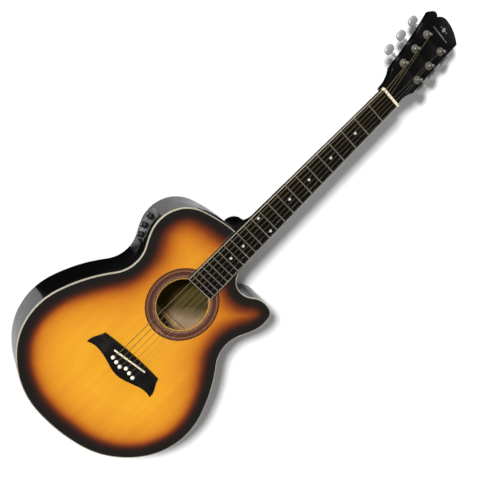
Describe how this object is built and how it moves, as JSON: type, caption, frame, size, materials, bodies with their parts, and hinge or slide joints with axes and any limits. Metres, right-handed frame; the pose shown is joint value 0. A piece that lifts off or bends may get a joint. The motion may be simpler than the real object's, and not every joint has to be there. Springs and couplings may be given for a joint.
{
  "type": "acoustic guitar",
  "caption": "Cutaway steel-string guitar with a hollow body, round sound hole, winged bridge, fretted neck, geared tuners and a side preamp.",
  "frame": {"origin": "centre of the whole length and width, on the plane that the flat back rests on", "axes": "+X along the neck towards the headstock, +Y the bass side, +Z out of the soundboard"},
  "size_m": [1.019, 0.3822, 0.0977],
  "materials": {
    "sunburst_top": "gloss lacquer over spruce, amber centre to black edge",
    "black_gloss": "gloss black lacquer",
    "cream_binding": "polished cream plastic",
    "rosette": "inlaid rings under lacquer",
    "inner_wood": "raw sanded spruce and mahogany",
    "black_steel": "blackened steel",
    "dark_wood": "oiled dark wood",
    "fret_wire": "polished nickel silver",
    "pearl_dot": "pearloid",
    "bone": "polished ivory-coloured plastic",
    "pickup": "braided strip",
    "chrome": "bright chrome plate",
    "plain_string": "plain steel wire",
    "wound_string": "bronze wound wire",
    "black_plastic": "satin black plastic",
    "battery": "painted steel can"
  },
  "bodies": {
    "guitar": {"soundboard": "sunburst_top", "back_plate": "black_gloss", "top_binding": "cream_binding", "rosette": "rosette", "bass_side_tail": "black_gloss", "bass_side_waist": "black_gloss", "bass_side_shoulder": "black_gloss", "treble_side_tail": "black_gloss", "treble_side_waist": "black_gloss", "treble_side_shoulder": "black_gloss", "neck_block": "inner_wood", "tail_block": "inner_wood", "linings": "inner_wood", "top_braces": "inner_wood", "transverse_brace": "inner_wood", "back_braces": "inner_wood", "neck": "black_gloss", "heel_cap": "black_gloss", "headstock_veneer": "black_gloss", "truss_rod": "black_steel", "neck_bolts": "black_steel", "fingerboard": "dark_wood", "fingerboard_binding": "cream_binding", "frets": "fret_wire", "position_dots": "pearl_dot", "nut": "bone", "bridge": "dark_wood", "saddle": "bone", "saddle_pickup": "pickup", "bridge_pins": "bone", "tuner_housings": "chrome", "tuner_bushings": "chrome", "tuner_screws": "black_steel", "string_1": "plain_string", "string_2": "plain_string", "string_3": "wound_string", "string_4": "wound_string", "string_5": "wound_string", "string_6": "wound_string", "preamp_panel": "black_plastic", "preamp_housing": "black_plastic", "endpin_jack": "chrome"},
    "button_1": {"tuner_button_1": "chrome"},
    "post_1": {"tuner_post_1": "chrome"},
    "button_2": {"tuner_button_2": "chrome"},
    "post_2": {"tuner_post_2": "chrome"},
    "button_3": {"tuner_button_3": "chrome"},
    "post_3": {"tuner_post_3": "chrome"},
    "button_4": {"tuner_button_4": "chrome"},
    "post_4": {"tuner_post_4": "chrome"},
    "button_5": {"tuner_button_5": "chrome"},
    "post_5": {"tuner_post_5": "chrome"},
    "button_6": {"tuner_button_6": "chrome"},
    "post_6": {"tuner_post_6": "chrome"},
    "volume_knob": {"volume_knob": "black_plastic"},
    "bass_knob": {"bass_knob": "black_plastic"},
    "treble_knob": {"treble_knob": "black_plastic"},
    "check_button": {"check_button": "black_plastic"},
    "battery_drawer": {"battery_drawer": "black_plastic", "battery": "battery"}
  },
  "joints": [
    {"name": "button_1_turn", "type": "hinge", "parent": "guitar", "child": "button_1", "pos_m": [0.39291, -0.0495, 0.05016], "axis": [0, -1, 0], "continuous": true},
    {"name": "post_1_turn", "type": "hinge", "parent": "guitar", "child": "post_1", "pos_m": [0.3911, -0.0213, 0.07161], "axis": [0.225, 0, 0.9744], "continuous": true},
    {"name": "button_2_turn", "type": "hinge", "parent": "guitar", "child": "button_2", "pos_m": [0.4275, -0.0495, 0.04217], "axis": [0, -1, 0], "continuous": true},
    {"name": "post_2_turn", "type": "hinge", "parent": "guitar", "child": "post_2", "pos_m": [0.42568, -0.0213, 0.06363], "axis": [0.225, 0, 0.9744], "continuous": true},
    {"name": "button_3_turn", "type": "hinge", "parent": "guitar", "child": "button_3", "pos_m": [0.46209, -0.0495, 0.03419], "axis": [0, -1, 0], "continuous": true},
    {"name": "post_3_turn", "type": "hinge", "parent": "guitar", "child": "post_3", "pos_m": [0.46027, -0.0213, 0.05564], "axis": [0.225, 0, 0.9744], "continuous": true},
    {"name": "button_4_turn", "type": "hinge", "parent": "guitar", "child": "button_4", "pos_m": [0.46209, 0.0495, 0.03419], "axis": [0, 1, 0], "continuous": true},
    {"name": "post_4_turn", "type": "hinge", "parent": "guitar", "child": "post_4", "pos_m": [0.46027, 0.0213, 0.05564], "axis": [0.225, 0, 0.9744], "continuous": true},
    {"name": "button_5_turn", "type": "hinge", "parent": "guitar", "child": "button_5", "pos_m": [0.4275, 0.0495, 0.04217], "axis": [0, 1, 0], "continuous": true},
    {"name": "post_5_turn", "type": "hinge", "parent": "guitar", "child": "post_5", "pos_m": [0.42568, 0.0213, 0.06363], "axis": [0.225, 0, 0.9744], "continuous": true},
    {"name": "button_6_turn", "type": "hinge", "parent": "guitar", "child": "button_6", "pos_m": [0.39291, 0.0495, 0.05016], "axis": [0, 1, 0], "continuous": true},
    {"name": "post_6_turn", "type": "hinge", "parent": "guitar", "child": "post_6", "pos_m": [0.3911, 0.0213, 0.07161], "axis": [0.225, 0, 0.9744], "continuous": true},
    {"name": "volume_knob_turn", "type": "hinge", "parent": "guitar", "child": "volume_knob", "pos_m": [-0.11675, 0.14914, 0.0435], "axis": [-0.1138, 0.9935, 0], "range_deg": [-140, 140]},
    {"name": "bass_knob_turn", "type": "hinge", "parent": "guitar", "child": "bass_knob", "pos_m": [-0.13575, 0.14429, 0.0435], "axis": [-0.3727, 0.9279, 0], "range_deg": [-140, 140]},
    {"name": "treble_knob_turn", "type": "hinge", "parent": "guitar", "child": "treble_knob", "pos_m": [-0.15223, 0.13644, 0.0435], "axis": [-0.4849, 0.8746, 0], "range_deg": [-140, 140]},
    {"name": "check_button_press", "type": "slide", "parent": "guitar", "child": "check_button", "axis": [-0.4312, 0.9022, 0], "range_m": [-0.0014, 0], "stiffness_N_per_m": 300, "springref_m": 0.0004},
    {"name": "battery_drawer_slide", "type": "slide", "parent": "guitar", "child": "battery_drawer", "axis": [-0.3191, 0.9477, 0], "range_m": [0, 0.046]}
  ],
  "couplings": [
    {"joint": "post_1_turn", "follows": "button_1_turn", "ratio": -0.071429},
    {"joint": "post_2_turn", "follows": "button_2_turn", "ratio": -0.071429},
    {"joint": "post_3_turn", "follows": "button_3_turn", "ratio": -0.071429},
    {"joint": "post_4_turn", "follows": "button_4_turn", "ratio": 0.071429},
    {"joint": "post_5_turn", "follows": "button_5_turn", "ratio": 0.071429},
    {"joint": "post_6_turn", "follows": "button_6_turn", "ratio": 0.071429}
  ]
}
